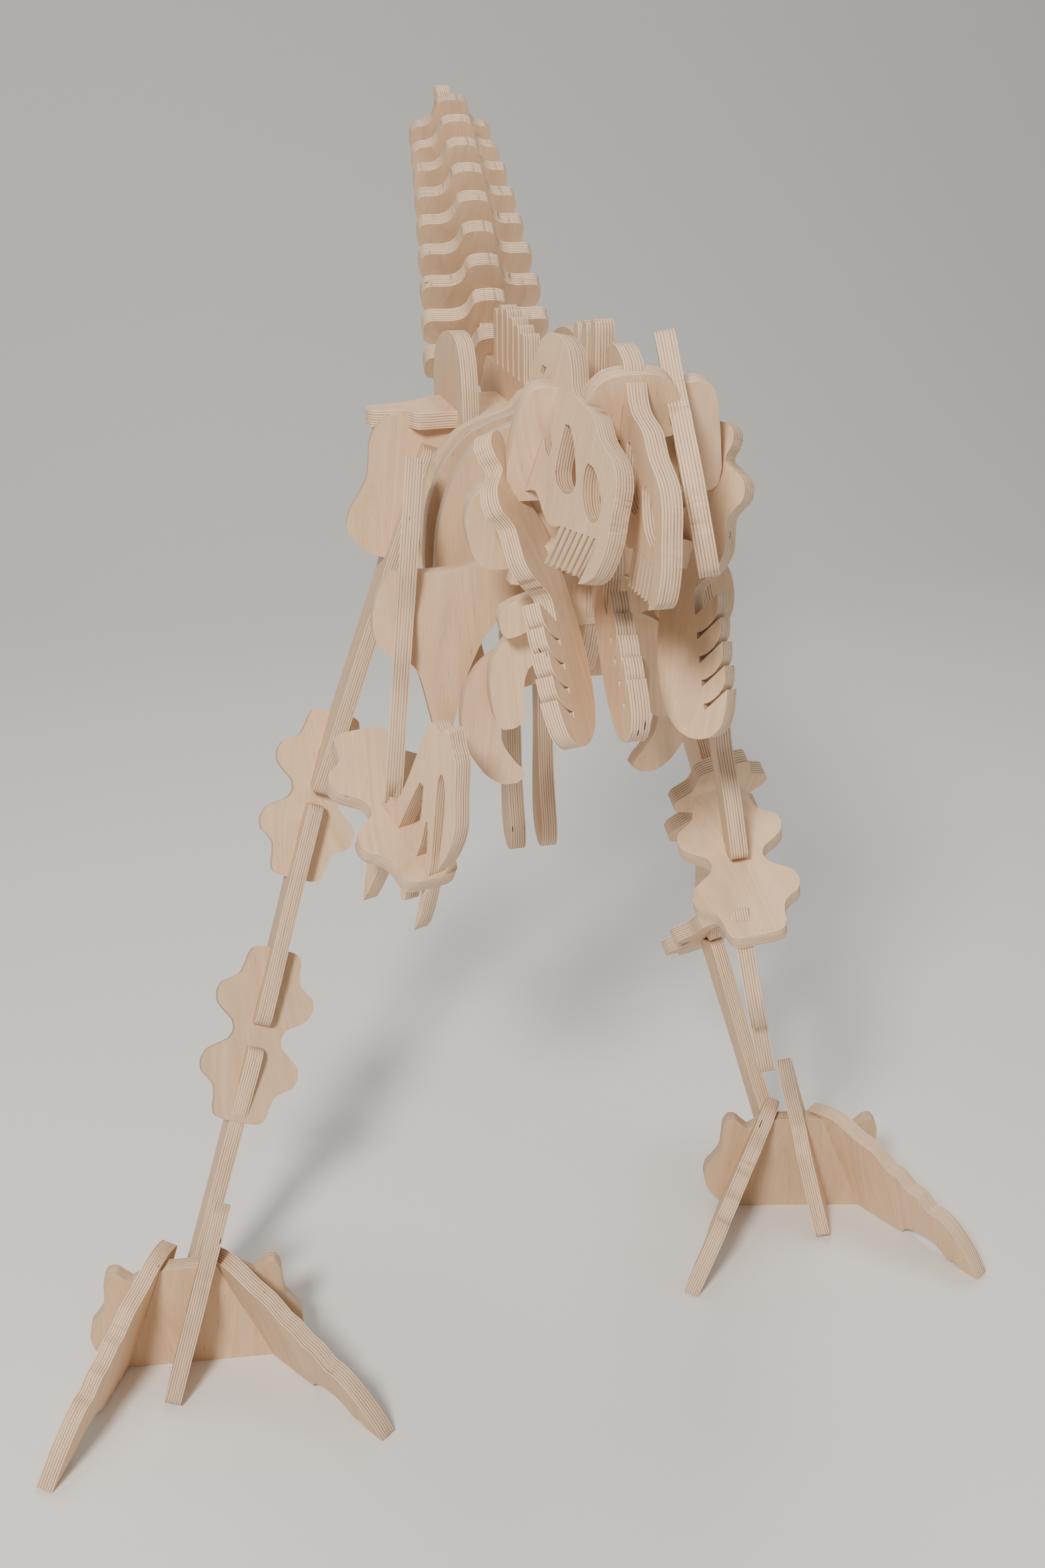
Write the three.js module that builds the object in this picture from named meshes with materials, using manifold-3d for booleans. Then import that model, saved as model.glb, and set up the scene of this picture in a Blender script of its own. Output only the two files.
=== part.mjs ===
// Free-standing dinosaur skeleton that slots together from flat plywood plates.
// Millimetres. +X is the skeleton's left, +Y is towards the tail, +Z is up.
import * as THREE from 'three';
import { mergeVertices } from 'three/addons/utils/BufferGeometryUtils.js';
import Module from 'manifold-3d';

const wasm = await Module();
wasm.setup();

// Driving dimensions
const SHEET = 18;
const GAP = 0.3;
const ARC_STEPS = 2;
const ARC_STEP = 8;
const NO_CORNER = 1e6;
const SAME = 0.01;
const SLIVER = 0.03;
const OVERCUT = 2;
const CRUMB = 1;
const TRACE = 0.002;
const NUDGES = [-GAP, GAP].flatMap((by) => [[by, 0, 0], [0, by, 0], [0, 0, by]]);
const HIP = { side: 112, aft: 77, up: 952 };
const THIGH = 410;
const SHIN = 287;
const SHANK = 370;
const GEAR_LENGTH = 202;
const TOE_LEAN = 18;
const MIDDLE_TOE_LEAN = 16;
const TOE_SPLAY = 29;
const TOE_SWING = 9;
const TAIL = { aft: 241, up: 1035, turn: -3, pitch: 49.6, steep: 45.5, level: 24, vertebrae: 9 };

const birch = new THREE.MeshStandardMaterial({ color: 0xe3c9a4, roughness: 0.62, metalness: 0 });
const deg = THREE.MathUtils.degToRad;
const model = new THREE.Group();

// Plates lie in one of three planes: across the body, along it, or level.
const PLANES = {
  across: new THREE.Matrix4().makeBasis(vec(1, 0, 0), vec(0, 0, 1), vec(0, -1, 0)),
  along: new THREE.Matrix4().makeBasis(vec(0, 1, 0), vec(0, 0, 1), vec(1, 0, 0)),
  level: new THREE.Matrix4(),
};

function vec(x, y, z) {
  return new THREE.Vector3(x, y, z);
}

// A closed outline. Each control point is a corner [x, y, reach]; the corner is rounded by a
// curve that starts and ends at that reach, or half way along the edges when none is given.
function outline(given) {
  const clockwise = THREE.ShapeUtils.isClockWise(given.map(([x, y]) => ({ x, y })));
  const points = clockwise ? given.toReversed() : given;
  const corners = points.map(([x, y]) => new THREE.Vector2(x, y));
  const path = [];
  corners.forEach((corner, i) => {
    const reach = points[i][2] ?? NO_CORNER;
    const start = towards(corner, corners.at(i - 1), reach);
    const end = towards(corner, corners[(i + 1) % corners.length], reach);
    const steps = Math.round(Math.min(start.distanceTo(end) / ARC_STEP, ARC_STEPS));
    const curve = new THREE.QuadraticBezierCurve(start, corner, end);
    path.push(...(steps ? curve.getPoints(steps) : [corner]));
  });
  return path.filter((point, i) => point.distanceTo(path.at(i - 1)) > SAME);
}

function towards(corner, other, reach) {
  const part = Math.min(reach / corner.distanceTo(other), 0.5);
  return corner.clone().lerp(other, part);
}

// Right half of a symmetric outline, from bottom centre to top centre, completed by its mirror.
function mirrored(half) {
  const other = half.filter(([x]) => x !== 0).map(([x, ...rest]) => [-x, ...rest]).reverse();
  return [...half, ...other];
}

function plate(parent, name, points, { plane = 'along', at = [0, 0, 0], turn = 0, lean = 0,
  pitch = 0, holes = [] } = {}) {
  const shape = new THREE.Shape(outline(points));
  shape.holes = holes.map((hole) => new THREE.Path(outline(hole)));
  const geometry = new THREE.ExtrudeGeometry(shape, {
    depth: SHEET, bevelEnabled: false, curveSegments: 1 });
  geometry.translate(0, 0, -SHEET / 2);
  const mesh = new THREE.Mesh(geometry, birch);
  mesh.name = name;
  const spin = new THREE.Euler(deg(pitch), deg(lean), deg(turn), 'ZYX');
  mesh.quaternion.setFromEuler(spin);
  mesh.quaternion.multiply(new THREE.Quaternion().setFromRotationMatrix(PLANES[plane]));
  mesh.position.set(...at);
  parent.add(mesh);
  return mesh;
}

function group(parent, at, turn = 0, lean = 0) {
  const holder = new THREE.Group();
  holder.position.set(...at);
  holder.rotation.set(0, deg(lean), deg(turn), 'ZYX');
  parent.add(holder);
  return holder;
}

// Spine: one long plate with two combs of upright fingers, over the neck and over the hips.
function comb(from, fingers, pitch, width, top, root) {
  const points = [];
  for (let i = 0; i < fingers; i += 1) {
    const x = from + i * pitch;
    points.push([x, root, 3], [x, top(i), 9], [x + width, top(i), 9], [x + width, root, 3]);
  }
  return points;
}

function spine(parent) {
  const neck = comb(-262, 3, 30, 19, (i) => 1150 - 5 * i, 1104);
  const hips = comb(22, 6, 27, 17, (i) => 1098 + 5 * i - 4 * Math.max(0, i - 3) ** 2, 1046);
  plate(parent, 'spine_plate', [
    [-262, 1092], ...neck, [-160, 1084], [-60, 1058], [0, 1044], ...hips,
    [200, 1046], [226, 1048, 3], [263, 1011, 3], [232, 990], [206, 976], [140, 972], [40, 985], [-60, 985], [-150, 975],
    [-190, 930], [-174, 880], [-178, 830], [-190, 794], [-214, 804], [-240, 850], [-256, 895],
    [-246, 925], [-214, 960], [-208, 1010], [-216, 1066]]);
}

// Tail: a curved plate that rises and levels out, carrying a row of cross plates.
function tailStation(i) {
  const lift = (k) => deg(THREE.MathUtils.lerp(TAIL.steep, TAIL.level, k / (TAIL.vertebrae - 1)));
  const spot = vec(0, 0, TAIL.up);
  for (let k = 0; k < i; k += 1) {
    spot.add(vec(0, Math.cos(lift(k)), Math.sin(lift(k))).multiplyScalar(TAIL.pitch));
  }
  return { spot, lift: lift(i) };
}

function tailPoint(i, rise) {
  const { spot, lift } = tailStation(i);
  return [spot.y - rise * Math.sin(lift), spot.z + rise * Math.cos(lift)];
}

function tail(parent) {
  const holder = group(parent, [0, TAIL.aft, 0], TAIL.turn);
  const last = TAIL.vertebrae;
  const upper = [];
  const lower = [];
  for (let i = 0; i < last; i += 1) {
    upper.push(tailPoint(i, 20));
    lower.unshift(tailPoint(i, -32));
  }
  const tip = [
    [...tailPoint(last - 0.3, 38), 5], [...tailPoint(last, 40), 4], [...tailPoint(last, 33), 2],
    [...tailPoint(last + 0.35, 32), 4], [...tailPoint(last + 0.35, 22), 2],
    [...tailPoint(last + 0.7, 16), 4], tailPoint(last + 0.75, -14), tailPoint(last + 0.4, -32)];
  plate(holder, 'tail_plate', [[...tailPoint(0, -32), 3], [...tailPoint(0, 20), 3], ...upper.slice(1), ...tip,
    ...lower.slice(0, -1)]);
  for (let i = 0; i < last; i += 1) {
    vertebra(holder, i);
  }
}

function vertebra(parent, i) {
  const { spot, lift } = tailStation(i);
  const wing = 80 - 3.3 * i;
  const half = [
    [0, -36], [24, -36, 8], [34, -18], [wing - 4, -18, 12], [wing, 8], [wing - 4, 26, 12],
    [38, 22], [23, 32], [20, 56, 9], [0, 60]];
  plate(parent, `tail_vertebra_${i + 1}`, mirrored(half), {
    plane: 'across', at: [...spot], pitch: THREE.MathUtils.radToDeg(lift) });
}

// Ribs: crescents open at the bottom, given by the heights of their shoulders and horn tips, their
// half width, the breadth of the band, how far out the tips are and the width of the crest.
function rib(parent, name, { aft, top, tip, half, band, reach, peak }) {
  const span = top - tip;
  const right = [
    [0, top - band], [half * 0.34, top - band - 2], [half - band * 0.95, top - span * 0.36],
    [half - band * 0.9, tip + span * 0.28], [reach - band * 0.5, tip + 6, 16],
    [reach + band * 0.3, tip - 4, 16], [half, tip + span * 0.24], [half + 3, top - span * 0.3],
    [half * 0.7, top - span * 0.02], [peak, top + 6], [peak * 0.8, top + 26], [0, top + 28]];
  plate(parent, name, mirrored(right), { plane: 'across', at: [0, aft, 0] });
}

function ribs(parent) {
  const rows = [
    { aft: -286, top: 958, tip: 920, half: 92, band: 32, reach: 88, peak: 26 },
    { aft: -238, top: 896, tip: 855, half: 94, band: 32, reach: 80, peak: 28 },
    { aft: -212, top: 858, tip: 750, half: 98, band: 36, reach: 78, peak: 30 },
    { aft: -186, top: 832, tip: 680, half: 122, band: 40, reach: 70, peak: 30 },
    { aft: -98, top: 1026, tip: 730, half: 130, band: 44, reach: 86, peak: 32 },
    { aft: -58, top: 1026, tip: 760, half: 134, band: 44, reach: 92, peak: 32 },
    { aft: -18, top: 1022, tip: 800, half: 130, band: 44, reach: 96, peak: 32 },
  ];
  rows.forEach((row, i) => rib(parent, `rib_${i + 1}`, row));
}

function shoulder(parent) {
  const half = [
    [0, 868], [60, 858], [96, 790], [112, 722, 12], [126, 716, 12], [136, 760], [146, 806],
    [178, 812], [192, 838], [186, 880], [168, 900], [140, 896], [92, 898], [60, 916],
    [44, 1006, 20], [0, 1010]];
  plate(parent, 'shoulder_plate', mirrored(half), { plane: 'across', at: [-14, -144, 0] });
}

// Head: three skull plates side by side and three lower jaws, held by cross plates.
function teeth(count, from, to, tip) {
  const points = [];
  for (let i = 0; i < count; i += 1) {
    const a = i / count;
    const b = (i + 0.58) / count;
    const x = THREE.MathUtils.lerp(from[0], to[0], a);
    const y = THREE.MathUtils.lerp(from[1], to[1], a);
    const x2 = THREE.MathUtils.lerp(from[0], to[0], b);
    const y2 = THREE.MathUtils.lerp(from[1], to[1], b);
    points.push([x, y, 2], [x + tip[0] - 1, y + tip[1], 2], [x2 + tip[0] + 1, y2 + tip[1], 2],
      [x2, y2, 2]);
  }
  return points;
}

function skull(parent, name, options, grow = 1) {
  const points = [
    [118, 0, 4], ...teeth(7, [118, -2], [58, -34], [2, -40]).slice(2), [50, -44], [28, -44],
    [4, -34], [-12, -54, 6], [-30, -42], [-58, -34], [-70, 0], [-86, 44], [-84, 74], [-38, 84],
    [-12, 58], [8, 58], [36, 66], [56, 54], [86, 58], [108, 46], [118, 22], [130, 6], [138, -30],
    [120, -48, 3]];
  const holes = [
    [[-72, 40], [-64, 50], [-54, 44], [-62, 34]],
    [[-44, 36], [-22, 34], [-12, 12], [12, -2], [-8, -8], [-32, 14]],
    [[-4, 38], [24, 34], [60, 4, 6], [46, -12, 6], [20, -12, 6]],
    [[52, 34], [80, 34], [106, 16], [104, 0], [80, -2], [60, 14]],
  ];
  const scale = ([x, y, r]) => [x * grow, y * grow, r];
  plate(parent, name, points.map(scale), { ...options, holes: holes.map((h) => h.map(scale)) });
}

function head(parent) {
  for (const [name, side] of [['skull_right', -1], ['skull_left', 1]]) {
    const holder = group(parent, [side * 58, -324, 1047], 180 - side * 15, side * 12);
    skull(holder, name, { pitch: -26 });
  }
  const middle = group(parent, [0, -352, 1036], 180);
  skull(middle, 'skull_centre', { pitch: -26 }, 1.04);
  plate(parent, 'skull_cross_plate', mirrored([
    [0, -50], [96, -52, 10], [104, -38], [88, 46, 14], [74, 58], [36, 48], [0, 48]]), {
    plane: 'across', at: [0, -300, 1052], pitch: 12 });
  plate(parent, 'skull_crown_plate', mirrored([
    [0, -26], [42, -26, 6], [44, 10], [30, 34], [0, 36]]), {
    plane: 'across', at: [0, -344, 1088], pitch: 18 });
}

// One hooked tooth: up from the end of the slot before it, to the tip, and round its front
function fang(i) {
  const x = 21.5 * i;
  const y = 6 * i;
  return [[172 + x, -2 + y, 2.5], [148 + x, 19 + y, 1.5], [166 + x, 23 + y, 8],
    [184 + x, 11 + y, 6], [187 + x, 2 + y, 2.5]];
}

function jaw(parent, name, options) {
  const last = 4;
  const points = [
    [-8, -12, 6], [-4, 12, 6], [16, 14], [28, 2], [40, 32], [64, 34], [76, 14], [110, 24],
    [134, 8], [148, -8, 5]];
  for (let i = 0; i < last; i += 1) {
    points.push(...fang(i));
  }
  points.push(...fang(last).slice(0, 2), [272, 46], [288, 22], [284, -4], [262, -24], [216, -40],
    [160, -42], [96, -42], [52, -16], [22, -12]);
  plate(parent, name, points, options);
}

function jaws(parent) {
  for (const [name, side, lean] of [['jaw_right', -1, 21], ['jaw_left', 1, -13]]) {
    const holder = group(parent, [side * 112, -282, 1052], 180 + side * 38, lean);
    jaw(holder, name, { pitch: -88 });
  }
  const middle = group(parent, [0, -232, 1036], 180);
  jaw(middle, 'jaw_centre', { pitch: -60 });
  plate(parent, 'jaw_cross_plate', mirrored([[0, -34], [118, -40, 16], [136, 10], [120, 44, 16],
    [0, 34]]), { plane: 'across', at: [0, -262, 968], pitch: 8 });
}

// Pelvis
function pelvis(parent) {
  const level = [
    [0, 30], [60, 26, 8], [64, 56, 8], [120, 50, 8], [128, 74, 8], [168, 76, 12], [170, 108, 12],
    [120, 116], [96, 146], [60, 160], [0, 160]];
  plate(parent, 'pelvis_plate', mirrored(level), { plane: 'level', at: [0, 0, 1006] });
  for (const [word, side] of [['right', -1], ['left', 1]]) {
    plate(parent, `ilium_${word}`, [
      [26, 950, 8], [22, 1010], [34, 1076], [70, 1096], [140, 1090], [196, 1060], [204, 1004],
      [168, 960], [120, 946], [80, 958]], { at: [side * 66, 0, 0] });
    plate(parent, `pubis_${word}`, [
      [64, 1012, 6], [92, 1012, 6], [84, 900], [68, 760], [52, 640], [62, 560], [48, 506],
      [8, 500], [0, 530], [28, 590], [32, 700], [44, 820]], { at: [side * 19, 0, 0] });
  }
}

// Gear-like joint plate with two round lobes on each side and a stem at each end
function gear(parent, name, at, pitch) {
  const end = GEAR_LENGTH / 2;
  const half = [
    [0, -end], [31, -end, 13], [32, -end + 40], [57, -end + 46], [57, -end + 76], [27, -12],
    [27, 12], [57, end - 76], [57, end - 46], [32, end - 40], [31, end, 13], [0, end]];
  plate(parent, name, mirrored(half), { plane: 'across', at, pitch });
}

// A long bone plate between two points of its own plane, with wavy edges
function bone(parent, name, from, to, half, ends) {
  const length = from.distanceTo(to);
  const [head, foot] = ends;
  const points = [
    [-half - 4, -head, 8], [-half, length * 0.25], [-half + 6, length * 0.5],
    [-half, length * 0.78], [-half + 2, length + foot, 8], [half - 4, length + foot, 8],
    [half, length * 0.74], [half - 6, length * 0.45], [half + 3, length * 0.2],
    [half + 2, -head, 8]].map(([x, y, r]) => [x, -y, r]);
  const slope = Math.atan2(to.x - from.x, from.y - to.y);
  plate(parent, name, points, { at: [0, from.x, from.y], pitch: THREE.MathUtils.radToDeg(slope) });
}

// Legs: each lies in one leaning plane. Angles are from straight down, positive forwards.
const LEGS = [
  { word: 'right', side: -1, turn: -4.3, lean: 19.3, thigh: 0, shin: 28, knee: 24, ankle: 32,
    foot: { turn: -5.5, offset: 28, ahead: 22, middle: -20 } },
  { word: 'left', side: 1, turn: 1, lean: -12.5, thigh: 20, shin: -29, knee: -38, ankle: -50,
    foot: { turn: -12.3, offset: 4, ahead: 2, middle: 34 } },
];

function step(from, length, forward) {
  return new THREE.Vector2(from.x - length * Math.sin(deg(forward)),
    from.y - length * Math.cos(deg(forward)));
}

function leg(parent, { word, side, turn, lean, thigh, shin, knee, ankle, foot: stance }) {
  const drop = HIP.up / Math.cos(deg(lean));
  const holder = group(parent, [side * HIP.side, HIP.aft, HIP.up], turn, lean);
  const hip = new THREE.Vector2(0, 0);
  const kneeAt = step(hip, THIGH, thigh);
  const ankleAt = step(kneeAt, SHIN, shin);
  const shank = THREE.MathUtils.radToDeg(Math.acos((drop + ankleAt.y) / SHANK));
  const sole = step(ankleAt, SHANK, shank);
  plate(holder, `hip_plate_${word}`, mirrored([
    [0, -108], [30, -110], [58, -96], [64, -70], [50, -30], [66, 8], [60, 38], [40, 52], [0, 52]]), {
    plane: 'across', at: [0, 0, 0] });
  bone(holder, `femur_${word}`, hip, kneeAt, 34, [26, -12]);
  gear(holder, `knee_gear_${word}`, [0, kneeAt.x, kneeAt.y], -knee);
  bone(holder, `tibia_${word}`, kneeAt, ankleAt, 30, [-12, -12]);
  gear(holder, `ankle_gear_${word}`, [0, ankleAt.x, ankleAt.y], -ankle);
  bone(holder, `shank_${word}`, ankleAt, sole, 27, [-12, -64]);
  holder.updateWorldMatrix(true, false);
  const ground = holder.localToWorld(vec(0, sole.x, sole.y));
  foot(parent, word, side, [ground.x + stance.offset, ground.y - stance.ahead, 0], stance);
}

// How far a leaning plate is lifted so that its lower corner just reaches the floor
function edgeRise(lean) {
  return SHEET / 2 * Math.sin(deg(lean));
}

function foot(parent, word, side, at, { turn, middle }) {
  const holder = group(parent, at, turn);
  plate(holder, `foot_cross_plate_${word}`, mirrored([
    [0, 0], [86, 0, 10], [118, 26], [120, 62], [96, 80], [100, 126], [82, 136], [66, 110],
    [50, 132], [0, 132]]), { plane: 'across' });
  plate(holder, `middle_toe_${word}`, [
    [-58, 0, 8], [-84, 0, 8], [-76, 40], [-58, 84], [-56, 112], [-26, 130, 4], [-24, 176],
    [-2, 214], [26, 206], [20, 142], [40, 84], [84, 62], [124, 50], [150, 12, 8],
    [148, 0, 4], [120, 0, 4], [112, 1.5, 4]], {
    at: [middle, 0, edgeRise(MIDDLE_TOE_LEAN)], turn: -6,
    lean: -Math.sign(middle) * MIDDLE_TOE_LEAN });
  for (const [place, way] of [['outer', side], ['inner', -side]]) {
    plate(holder, `${place}_toe_${word}`, [
      [56, 1.5, 8], [-60, 1.5, 8], [-70, 4, 3], [-78, 0, 3], [-88, 20], [-132, 26], [-150, 2, 4],
      [-160, 8, 3], [-170, 0, 3], [-194, 0, 3], [-184, 34], [-162, 68], [-142, 80], [-130, 72],
      [-116, 98], [-100, 90], [-86, 114], [-72, 106], [-54, 134], [-24, 132], [0, 150], [30, 148],
      [64, 132, 6]], {
      at: [way * 86, 0, edgeRise(TOE_LEAN)], turn: way * TOE_SPLAY + TOE_SWING,
      lean: -way * TOE_LEAN });
  }
}

// Arms: each upper arm hangs in its own upright plane, and each hand in another.
const ARMS = [
  { word: 'right', side: -1, turn: -10.6, lean: 5, at: [-190, -158, 650], upper: 6,
    gear: 60, hand: { at: [-165, -230, 610], turn: 23, lean: 0, pitch: 0 } },
  { word: 'left', side: 1, turn: -8, lean: -8, at: [165, -233, 580], upper: 14,
    gear: 66, hand: { at: [188, -262, 400], turn: -15.7, lean: -11.5, pitch: 0 } },
];

function arm(parent, { word, side, turn, lean, at, upper, gear: tilt, hand: grip }) {
  const holder = group(parent, at, turn, lean);
  plate(holder, `upper_arm_${word}`, [
    [-24, 10, 6], [-28, 90], [-10, 130], [-34, 170], [-14, 210], [-40, 250], [-30, 300],
    [0, 350], [16, 364, 8], [36, 340], [40, 270], [14, 210], [34, 160], [14, 100], [20, 10, 6],
  ], { at: [0, 0, 0], pitch: -upper });
  const wrist = group(parent, at, grip.turn + side * 6, grip.lean);
  gear(wrist, `elbow_gear_${word}`, [0, 0, 0], -tilt);
  hand(parent, word, grip);
}

// A flat hand: a bone end at the top, a scalloped front edge and four pointed fingers
function hand(parent, word, options) {
  plate(parent, `hand_${word}`, [
    [-24, 172, 6], [-34, 158, 4], [-52, 172, 6], [-56, 152], [-66, 140], [-60, 104], [-62, 66],
    [-46, 34], [-28, 12, 5], [-44, 80, 5], [-46, 116], [-36, 122], [-28, 98], [-20, 40],
    [-12, -4], [8, -60], [20, -76, 6], [8, -40], [-6, 0], [-14, 56], [-8, 62], [0, 30],
    [22, -6], [38, -54, 6], [46, -46, 6], [32, -10], [12, 24], [-6, 80], [-6, 112], [42, 34],
    [86, -30], [106, -64], [122, -84, 6], [112, -40], [92, 30], [62, 64, 4], [52, 58, 3],
    [42, 64, 4], [16, 104], [-8, 150]], options);
}

// Half-lap joints: where two plates cross, each gives up half of the crossing.
function solidOf(geometry) {
  const bare = geometry.clone();
  bare.deleteAttribute('normal');
  bare.deleteAttribute('uv');
  const merged = mergeVertices(bare, 1e-3);
  return new wasm.Manifold(new wasm.Mesh({ numProp: 3,
    vertProperties: new Float32Array(merged.attributes.position.array),
    triVerts: new Uint32Array(merged.index.array) }));
}

function geometryOf(solid) {
  const mesh = solid.getMesh();
  const geometry = new THREE.BufferGeometry();
  geometry.setAttribute('position', new THREE.BufferAttribute(mesh.vertProperties, 3));
  geometry.setIndex(new THREE.BufferAttribute(mesh.triVerts, 1));
  return geometry;
}

// The plate's solid in the model's frame, thickened by the clearance when it is used as a cutter
function placed(mesh, clearance = 0) {
  const thick = mesh.geometry.clone().scale(1, 1, 1 + 2 * clearance / SHEET);
  return solidOf(thick.applyMatrix4(mesh.matrixWorld));
}

// The block round a crossing: its upper or its lower half or, for sense 0, all of it.
function block(piece, axes, sense) {
  const points = geometryOf(piece).attributes.position;
  const low = vec(Infinity, Infinity, Infinity);
  const high = vec(-Infinity, -Infinity, -Infinity);
  for (let i = 0; i < points.count; i += 1) {
    const point = new THREE.Vector3().fromBufferAttribute(points, i);
    const seen = vec(...axes.map((axis) => point.dot(axis)));
    low.min(seen);
    high.max(seen);
  }
  const cut = (low.x + high.x) / 2 - sense * GAP / 2;
  low.subScalar(OVERCUT);
  high.addScalar(OVERCUT);
  if (sense > 0) low.x = cut;
  if (sense < 0) high.x = cut;
  const extent = high.clone().sub(low);
  const centre = high.add(low).divideScalar(2);
  const box = new THREE.BoxGeometry(...extent).translate(...centre);
  return solidOf(box.applyMatrix4(new THREE.Matrix4().makeBasis(...axes)));
}

function joinPlates(meshes) {
  const parts = meshes.map((mesh) => ({ mesh, solid: placed(mesh), cutter: placed(mesh, GAP),
    box: new THREE.Box3().setFromObject(mesh),
    normal: vec(0, 0, 1).transformDirection(mesh.matrixWorld) }));
  const pairs = parts.flatMap((one, i) => parts.slice(i + 1).map((two) => [one, two]))
    .filter(([one, two]) => one.box.intersectsBox(two.box));
  pairs.forEach(([one, two]) => lap(one, two));
  for (const part of parts) {
    part.solid = largest(part.solid).simplify(SLIVER);
  }
  pairs.forEach(([one, two]) => clear(one, two));
  for (const { mesh, solid } of parts) {
    const back = mesh.matrixWorld.clone().invert();
    mesh.geometry = geometryOf(largest(solid)).applyMatrix4(back);
    mesh.geometry.computeVertexNormals();
  }
}

// The slot's line, the first plate's normal and the direction square to both
function slotAxes(one, two) {
  const line = one.normal.clone().cross(two.normal).normalize();
  if (line.z < 0) line.negate();
  return [line, one.normal, line.clone().cross(one.normal)];
}

function lap(one, two) {
  const shared = one.cutter.intersect(two.cutter);
  const axes = slotAxes(one, two);
  for (const piece of shared.decompose().filter((part) => part.volume() > CRUMB)) {
    one.solid = one.solid.subtract(two.cutter.intersect(block(piece, axes, 1)));
    two.solid = two.solid.subtract(one.cutter.intersect(block(piece, axes, -1)));
  }
}

// Where two cut plates still meet, the first is eased back all round the second.
function clear(one, two) {
  const rests = one.solid.intersect(two.solid).decompose();
  for (const rest of rests.filter((part) => part.volume() > TRACE)) {
    const near = block(rest, slotAxes(one, two), 0);
    for (const nudge of NUDGES) {
      one.solid = one.solid.subtract(two.solid.translate(nudge).intersect(near));
    }
  }
}

// A plate stays one piece: any crumb that the cuts free is dropped.
function largest(solid) {
  return solid.decompose().sort((a, b) => b.volume() - a.volume())[0];
}

spine(model);
tail(model);
ribs(model);
shoulder(model);
head(model);
jaws(model);
pelvis(model);
LEGS.forEach((pose) => leg(model, pose));
ARMS.forEach((pose) => arm(model, pose));
model.updateMatrixWorld(true);
joinPlates(model.getObjectsByProperty('isMesh', true));

// The origin is the middle of the footprint, on the floor.
const size = new THREE.Box3().setFromObject(model, true);
const middle = size.getCenter(vec(0, 0, 0));
model.position.set(-middle.x, -middle.y, -size.min.z);

export default model;
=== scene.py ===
"""A slotted plywood dinosaur skeleton: every plate is rounded, eased at its edges and veneered."""

import math

import bmesh
import bpy
from mathutils import Matrix, Vector


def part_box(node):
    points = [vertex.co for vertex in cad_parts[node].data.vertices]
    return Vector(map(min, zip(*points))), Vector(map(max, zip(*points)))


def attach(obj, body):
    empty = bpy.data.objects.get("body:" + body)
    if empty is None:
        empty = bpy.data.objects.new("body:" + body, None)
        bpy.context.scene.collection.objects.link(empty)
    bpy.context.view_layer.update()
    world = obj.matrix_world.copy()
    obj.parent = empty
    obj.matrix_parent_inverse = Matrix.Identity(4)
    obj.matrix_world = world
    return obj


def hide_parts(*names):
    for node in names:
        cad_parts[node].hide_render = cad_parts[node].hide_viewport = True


# The sheet, in metres
SHEET = 0.018
PLIES = 13

# Telling a plate's two broad faces from its cut edge, by the direction of a normal
ONE_SIDE = Vector((0.31, 0.52, 0.79))
LYING_FLAT = 0.8
BROAD_FACE = 0.995

# Finishing the cut, in metres
TINY = 0.0003
WELD = TINY / 30
EASE = 0.0006
SHORTEST_RIM = 4 * EASE

# Finishing the cut, in degrees that the surface turns over an edge
SAME_FACE = 1
FACET = 2
SMOOTH_BELOW = 40
SOFT_CORNER = 52

# Bevels
BLEND_PERCENT = 28
BLEND_STEPS = 3
EASE_STEPS = 2
ROUND = 0.5

# Linear colours of bare birch, and a near-black painted shade for the voids in its core
PALE_VENEER = (0.72, 0.51, 0.33, 1)
WARM_VENEER = (0.60, 0.40, 0.24, 1)
LONG_PLY = (0.76, 0.57, 0.39, 1)
END_PLY = (0.30, 0.15, 0.08)
GLUE_LINE = (0.17, 0.08, 0.04, 1)
PORE = (0.34, 0.19, 0.10, 1)
# Painted shade: the near black inside a void of the core, where the hollow is in shade
VOID_SHADE = (0.05, 0.03, 0.02, 1)

# Noise cycles per metre across, along and through a plate
WARP_SCALE = (7, 1.3, 7)
FIGURE_SCALE = (34, 2.2, 34)
FIBRE_SCALE = (1100, 26, 1100)
PORE_SCALE = (420, 55, 420)
WOBBLE_SCALE = (30, 30, 30)
SPECKLE_SCALE = (420, 420, 300)
PATCH_SCALE = (16, 16, 3.7)
VOID_SCALE = (38, 38, 7.3)
SHEEN_SCALE = (60, 9, 60)

# Sockets of the Mix node that share a name, by their place in its lists
FLOAT_A, FLOAT_B = 2, 3
COLOUR_A, COLOUR_B, COLOUR_RESULT = 6, 7, 2

# Relief and gloss of the sanded wood
BUMP_STRENGTH = 0.35
BUMP_HEIGHT = 0.0003
SPECULAR = 0.35

# The studio, in metres
SWEEP_HALF_WIDTH = 9
SWEEP_FRONT = -8
SWEEP_BACK = 5
SWEEP_BEND = 2.5
SWEEP_TOP = 8
SWEEP_STEPS = 24
PAPER = (0.78, 0.77, 0.75, 1)
PAPER_ROUGHNESS = 0.8
AIR = (0.88, 0.88, 0.87, 1)
AIR_STRENGTH = 0.4
LIT_POINT = Vector((0, 0, 0.65))

# The viewpoint, measured from the front end of the spine plate
EYE = Vector((-0.418, -1.481, 1.360))
HEADING = math.atan2(0.225, 0.974)
DIP = math.radians(23.2)
FOCAL = 38.6
SENSOR_HEIGHT = 36
FARTHEST = 50


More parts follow.
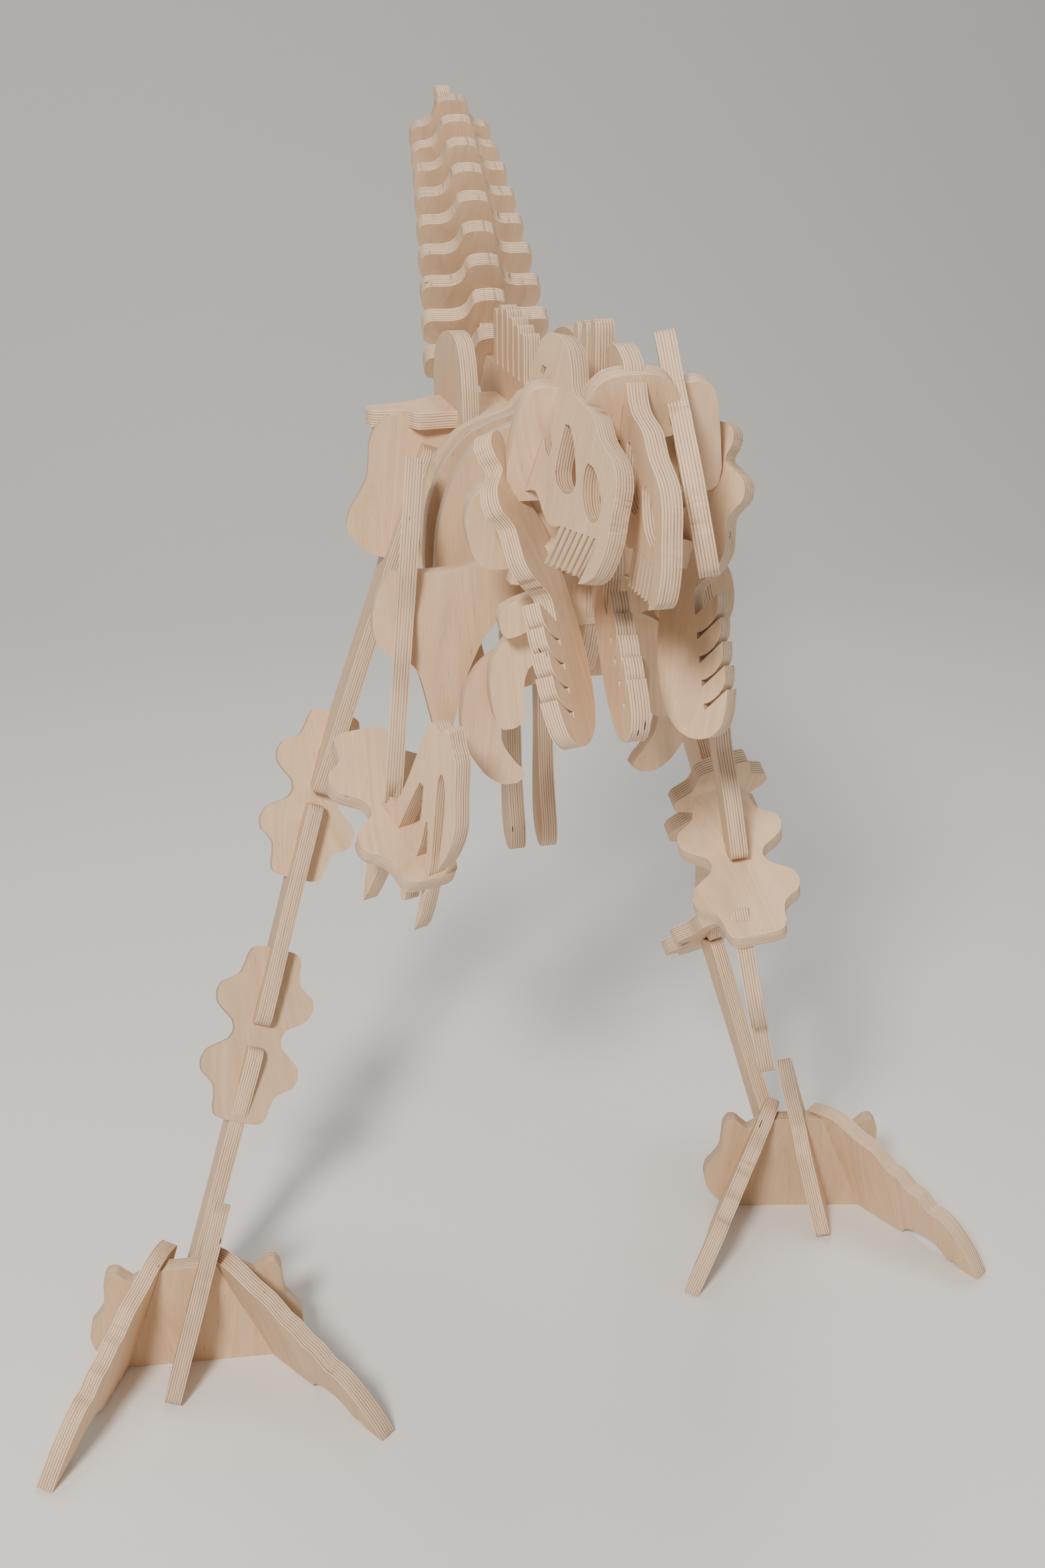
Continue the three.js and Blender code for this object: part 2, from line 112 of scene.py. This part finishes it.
def plate_axes(mesh):
    """Rotation whose third column is the plate's normal and whose second runs up its face."""
    totals = {}
    for face in mesh.polygons:
        normal = face.normal if face.normal.dot(ONE_SIDE) > 0 else -face.normal
        key = tuple(round(part, 1) for part in normal)
        totals[key] = totals.get(key, Vector()) + normal * face.area
    normal = max(totals.values(), key=lambda total: total.length).normalized()
    up = Vector((0, 0, 1)) if abs(normal.z) < LYING_FLAT else Vector((0, 1, 0))
    across = up.cross(normal).normalized()
    return Matrix((across, normal.cross(across), normal)).transposed()


def welded(mesh):
    """The CAD solid with its flat faces whole again, ready to be eased."""
    work = bmesh.new()
    work.from_mesh(mesh)
    bmesh.ops.remove_doubles(work, verts=work.verts, dist=WELD)
    bmesh.ops.dissolve_limit(work, angle_limit=math.radians(SAME_FACE),
                             verts=work.verts, edges=work.edges)
    bmesh.ops.dissolve_degenerate(work, dist=TINY, edges=work.edges)
    return work


def corner(edge):
    """How far the surface turns over an edge, in degrees; 0 where it isn't a plain edge."""
    return math.degrees(edge.calc_face_angle(0))


def through(edge):
    """True for an edge that runs from one face of the plate to the other."""
    first, second = (vertex.co for vertex in edge.verts)
    return abs(first.z - second.z) > SHEET / 2


def round_outline(work):
    """The saw followed curves, so the facets of each sweep are blended into one another."""
    facets = [e for e in work.edges if through(e) and FACET < corner(e) < SOFT_CORNER]
    bmesh.ops.bevel(work, geom=facets, offset=BLEND_PERCENT, offset_type="PERCENT",
                    segments=BLEND_STEPS, profile=ROUND, affect="EDGES", clamp_overlap=True)


def ease_rims(work):
    """Sanding takes the sharpness off every rim."""
    rims = [e for e in work.edges
            if corner(e) > SOFT_CORNER and e.calc_length() > SHORTEST_RIM]
    bmesh.ops.bevel(work, geom=rims, offset=EASE, offset_type="OFFSET",
                    segments=EASE_STEPS, profile=ROUND, affect="EDGES", clamp_overlap=True)


def shade(mesh):
    """Sawn curves and eased rims shade smoothly; the two veneered faces stay dead flat."""
    mesh.shade_smooth()
    mesh.set_sharp_from_angle(angle=math.radians(SMOOTH_BELOW))
    for face in mesh.polygons:
        face.use_smooth = abs(face.normal.z) < BROAD_FACE


def centre_through(mesh):
    """Move a plate so that z is 0 halfway through it, and return how far it was from that."""
    heights = [v.co.z for v in mesh.vertices]
    middle = (min(heights) + max(heights)) / 2
    mesh.transform(Matrix.Translation((0, 0, -middle)))
    return middle


def finish_edges(mesh):
    """Round the sawn outline and ease the rims of a plate that lies in its own frame."""
    work = welded(mesh)
    round_outline(work)
    ease_rims(work)
    bmesh.ops.triangulate(work, faces=[f for f in work.faces if len(f.verts) > 4])
    work.to_mesh(mesh)
    work.free()


def finished_plate(name, node, material):
    """The visible plate that stands in for one CAD node."""
    low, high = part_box(name)
    place = Matrix.Translation((low + high) / 2) @ plate_axes(node.data).to_4x4()
    mesh = node.data.copy()
    mesh.transform(place.inverted())
    middle = centre_through(mesh)
    finish_edges(mesh)
    mesh.materials.clear()
    mesh.materials.append(material)
    shade(mesh)
    piece = bpy.data.objects.new(f"{name}_plywood", mesh)
    piece.matrix_world = place @ Matrix.Translation((0, 0, middle))
    bpy.context.scene.collection.objects.link(piece)
    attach(piece, "root")
    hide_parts(name)


class Shader:
    """A short way to write a node tree: each call adds a node and gives one of its outputs."""

    def __init__(self, tree):
        self.tree = tree

    def add(self, kind, inputs=(), output=0, **settings):
        """A node whose inputs are each linked to a socket or set to a value."""
        node = self.tree.nodes.new("ShaderNode" + kind)
        for name, value in settings.items():
            setattr(node, name, value)
        for name, value in dict(inputs).items():
            if isinstance(value, bpy.types.NodeSocket):
                self.tree.links.new(value, node.inputs[name])
            else:
                node.inputs[name].default_value = value
        return node.outputs[output]

    def math(self, operation, first, second=0.0):
        """One step of arithmetic; a one-sided operation leaves the second value unused."""
        return self.add("Math", {0: first, 1: second}, operation=operation)

    def noise(self, place, scale, detail=4, roughness=0.5):
        """Noise stretched by a different scale along each axis."""
        spread = self.add("Mapping", {"Vector": place, "Scale": scale})
        return self.add("TexNoise", {"Vector": spread, "Scale": 1, "Detail": detail,
                                     "Roughness": roughness})

    def between(self, value, low, high, start=0.0, end=1.0):
        """The range from low to high, spread over the range from start to end."""
        return self.add("MapRange", {"Value": value, "From Min": low, "From Max": high,
                                     "To Min": start, "To Max": end})

    def blend(self, factor, first, second):
        """Two colours mixed, from all of the first at 0 to all of the second at 1."""
        return self.add("Mix", {"Factor": factor, COLOUR_A: first, COLOUR_B: second},
                        output=COLOUR_RESULT, data_type="RGBA")

    def brighten(self, colour, gain):
        """A colour multiplied by a varying number."""
        return self.add("VectorMath", {0: colour, "Scale": gain}, operation="SCALE")

    def shifted(self, place, offset):
        """A place moved by an offset."""
        return self.add("VectorMath", {0: place, 1: offset}, operation="ADD")


def veneer(shader, place):
    """Rotary-cut face veneer: long soft figure, fine fibres and short dark pores."""
    warp = shader.noise(place, WARP_SCALE, 2)
    figure = shader.noise(shader.shifted(place, warp), FIGURE_SCALE, 5, 0.55)
    fibre = shader.noise(place, FIBRE_SCALE, 2, 0.6)
    pore = shader.between(shader.noise(place, PORE_SCALE, 1), 0.70, 0.78)
    tone = shader.between(figure, 0.34, 0.70, 0, 0.8)
    colour = shader.blend(tone, PALE_VENEER, WARM_VENEER)
    colour = shader.brighten(colour, shader.between(fibre, 0.3, 0.7, 0.93, 1.05))
    colour = shader.blend(shader.math("MULTIPLY", pore, 0.35), colour, PORE)
    height = shader.math("SUBTRACT", shader.math("MULTIPLY", fibre, 0.5), pore)
    return colour, height


def ply_count(shader, position, place):
    """How many plies deep a point is, counted from one face, with a slight wobble."""
    wobble = shader.between(shader.noise(place, WOBBLE_SCALE, 2), 0, 1, -0.12, 0.12)
    depth = shader.add("SeparateXYZ", {0: position}, output="Z")
    level = shader.add("Math", {0: depth, 1: PLIES / SHEET, 2: PLIES / 2},
                       operation="MULTIPLY_ADD")
    return shader.math("ADD", level, wobble)


def ply_edge(shader, position, place):
    """The cut edge: long-grain and end-grain plies in turn, dark glue lines and a few voids in
    painted shade.
    """
    level = ply_count(shader, position, place)
    index = shader.math("FLOOR", level)
    end_grain = shader.math("MODULO", index, 2)
    to_glue = shader.math("PINGPONG", shader.math("FRACT", level), 0.5)
    glue = shader.between(to_glue, 0.04, 0.13, 1, 0)
    in_layer = shader.shifted(place, shader.add("CombineXYZ", {"Z": index}))
    speckle = shader.noise(place, SPECKLE_SCALE, 3, 0.6)
    patch = shader.noise(in_layer, PATCH_SCALE, 2)
    # The voids of the core: real gaps that dip in the bump, with their hollows in painted shade
    void_and_shade = shader.between(shader.noise(in_layer, VOID_SCALE, 1), 0.74, 0.77)
    void_and_shade = shader.math("MULTIPLY", void_and_shade, end_grain)
    end = shader.brighten(END_PLY, shader.between(speckle, 0.3, 0.7, 0.82, 1.22))
    core = shader.between(to_glue, 0.08, 0.34, 0.25, 1)
    ends = shader.math("MULTIPLY", end_grain, shader.between(patch, 0.3, 0.7, 0.5, 1))
    ends = shader.math("MULTIPLY", ends, core)
    colour = shader.blend(ends, LONG_PLY, end)
    colour = shader.blend(shader.math("MULTIPLY", glue, 0.32), colour, GLUE_LINE)
    # Painted shade: each void is painted near black for the shade inside its hollow
    colour = shader.blend(void_and_shade, colour, VOID_SHADE)
    height = shader.math("SUBTRACT", shader.math("MULTIPLY", speckle, 0.4), glue)
    height = shader.math("SUBTRACT", height, shader.math("MULTIPLY", void_and_shade, 4))
    return colour, height


def own_grain(shader, position, piece):
    """The place in the wood that a point was cut from, different for every plate."""
    offset = shader.add("CombineXYZ", {"X": shader.math("MULTIPLY", piece, 11.3),
                                       "Y": shader.math("MULTIPLY", piece, 7.1)})
    return shader.shifted(position, offset)


def plywood():
    """Veneer on the two broad faces, plies on the cut edge, and a tone of its own per plate."""
    material = bpy.data.materials.new("birch_plywood")
    material.use_nodes = True
    tree = material.node_tree
    surface = tree.nodes["Principled BSDF"]
    shader = Shader(tree)
    position = shader.add("TexCoord", output="Object")
    normal = shader.add("TexCoord", output="Normal")
    piece = shader.add("ObjectInfo", output="Random")
    place = own_grain(shader, position, piece)
    facing = shader.math("ABSOLUTE", shader.add("SeparateXYZ", {0: normal}, output="Z"))
    on_face = shader.between(facing, 0.6, 0.85)
    face_colour, face_height = veneer(shader, place)
    edge_colour, edge_height = ply_edge(shader, position, place)
    colour = shader.blend(on_face, edge_colour, face_colour)
    colour = shader.brighten(colour, shader.between(piece, 0, 1, 0.86, 1.06))
    height = shader.add("Mix", {"Factor": on_face, FLOAT_A: edge_height, FLOAT_B: face_height})
    rough = shader.between(shader.noise(place, SHEEN_SCALE, 3), 0.3, 0.7, 0.52, 0.70)
    bump = shader.add("Bump", {"Strength": BUMP_STRENGTH, "Distance": BUMP_HEIGHT,
                               "Height": height})
    tree.links.new(colour, surface.inputs["Base Color"])
    tree.links.new(rough, surface.inputs["Roughness"])
    tree.links.new(bump, surface.inputs["Normal"])
    surface.inputs["Specular IOR Level"].default_value = SPECULAR
    return material


def studio_paper():
    """Matt pale paper."""
    material = bpy.data.materials.new("studio_paper")
    material.use_nodes = True
    surface = material.node_tree.nodes["Principled BSDF"]
    surface.inputs["Base Color"].default_value = PAPER
    surface.inputs["Roughness"].default_value = PAPER_ROUGHNESS
    return material


def studio_sweep():
    """A pale floor that curves up into a wall behind the skeleton."""
    turns = [math.pi / 2 * k / SWEEP_STEPS for k in range(SWEEP_STEPS + 1)]
    curve = [(SWEEP_BACK - SWEEP_BEND + SWEEP_BEND * math.sin(turn),
              SWEEP_BEND - SWEEP_BEND * math.cos(turn)) for turn in turns]
    profile = [(SWEEP_FRONT, 0), *curve, (SWEEP_BACK, SWEEP_TOP)]
    sides = (-SWEEP_HALF_WIDTH, SWEEP_HALF_WIDTH)
    verts = [(side, y, z) for y, z in profile for side in sides]
    faces = [(2 * k, 2 * k + 1, 2 * k + 3, 2 * k + 2) for k in range(len(profile) - 1)]
    mesh = bpy.data.meshes.new("studio_sweep")
    mesh.from_pydata(verts, [], faces)
    mesh.materials.append(studio_paper())
    mesh.shade_smooth()
    floor = bpy.data.objects.new("studio_sweep", mesh)
    bpy.context.scene.collection.objects.link(floor)


def softbox(name, place, size, power, colour):
    """A round area light that faces the middle of the skeleton; power in watts."""
    light = bpy.data.lights.new(name, "AREA")
    light.shape = "DISK"
    light.size = size
    light.energy = power
    light.color = colour
    lamp = bpy.data.objects.new(name, light)
    lamp.location = place
    lamp.rotation_euler = (LIT_POINT - Vector(place)).to_track_quat("-Z", "Y").to_euler()
    bpy.context.scene.collection.objects.link(lamp)


def studio_lights():
    """A hard warm key from the front, a weak cool fill and a soft light from above."""
    softbox("key_light", place=(-1.6, -3.0, 3.2), size=0.8, power=200, colour=(1, 0.93, 0.85))
    softbox("fill_light", place=(2.8, -2.2, 1.6), size=2.2, power=10, colour=(0.95, 0.97, 1))
    softbox("top_light", place=(0.4, 1.2, 3.6), size=1.8, power=46, colour=(1, 0.98, 0.95))
    world = bpy.data.worlds.new("studio")
    world.use_nodes = True
    background = world.node_tree.nodes["Background"]
    background.inputs["Color"].default_value = AIR
    background.inputs["Strength"].default_value = AIR_STRENGTH
    bpy.context.scene.world = world


def camera():
    """A camera in front of the skeleton and above it, looking down along its right side."""
    low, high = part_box("spine_plate")
    data = bpy.data.cameras.new("camera")
    data.sensor_fit = "VERTICAL"
    data.sensor_height = SENSOR_HEIGHT
    data.lens = FOCAL
    data.clip_end = FARTHEST
    view = bpy.data.objects.new("camera", data)
    view.location = Vector(((low.x + high.x) / 2, low.y, 0)) + EYE
    look = Vector((math.sin(HEADING) * math.cos(DIP), math.cos(HEADING) * math.cos(DIP),
                   -math.sin(DIP)))
    view.rotation_euler = look.to_track_quat("-Z", "Y").to_euler()
    bpy.context.scene.collection.objects.link(view)
    bpy.context.scene.camera = view


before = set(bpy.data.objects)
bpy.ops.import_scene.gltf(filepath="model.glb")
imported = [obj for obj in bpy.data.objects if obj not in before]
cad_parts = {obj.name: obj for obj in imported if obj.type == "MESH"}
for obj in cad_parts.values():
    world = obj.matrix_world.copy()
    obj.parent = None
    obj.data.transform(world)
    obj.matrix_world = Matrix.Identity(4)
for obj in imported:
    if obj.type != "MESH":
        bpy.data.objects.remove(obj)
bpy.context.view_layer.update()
camera()
birch = plywood()
for part in sorted(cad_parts):
    finished_plate(part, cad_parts[part], birch)
studio_sweep()
studio_lights()
